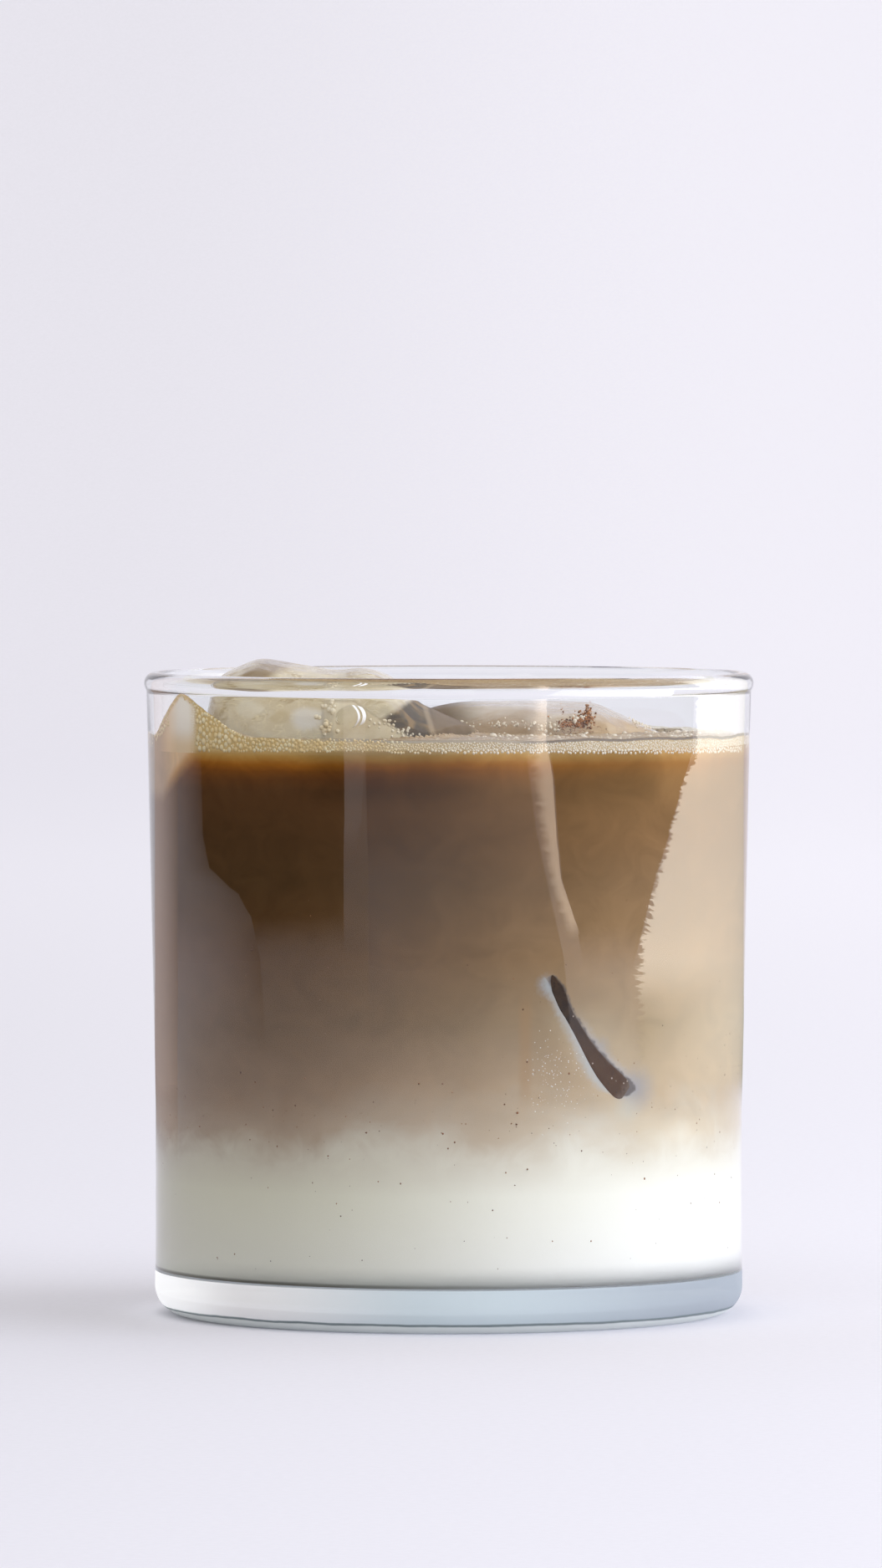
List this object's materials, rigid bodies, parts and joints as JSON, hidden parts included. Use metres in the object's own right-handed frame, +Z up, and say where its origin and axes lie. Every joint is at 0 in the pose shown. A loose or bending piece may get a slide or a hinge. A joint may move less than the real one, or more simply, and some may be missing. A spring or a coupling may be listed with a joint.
{
  "type": "iced hojicha latte in a tumbler",
  "caption": "Straight low glass tumbler with a beaded rim and thick base, filled with milk, roasted tea latte and froth in layers, with ice blocks floating at the top.",
  "frame": {"origin": "centre of the glass's foot, on the plane it stands on", "axes": "+Z up along the glass's axis; -Y is the front shown in the picture, +X is the picture's right"},
  "size_m": [0.086, 0.086, 0.0926],
  "materials": {
    "glass": "clear soda-lime glass, polished",
    "milk": "plain milk, opaque, with a few dark tea specks",
    "tea": "roasted tea mixed with milk, brown above and paler towards the milk",
    "froth": "fine wet bubbles, yellow-brown",
    "ice": "wet melting ice, slightly cloudy"
  },
  "bodies": {
    "root": {"glass": "glass", "milk": "milk", "hojicha_latte": "tea", "froth": "froth", "ice_left": "ice", "ice_right": "ice"}
  },
  "joints": []
}
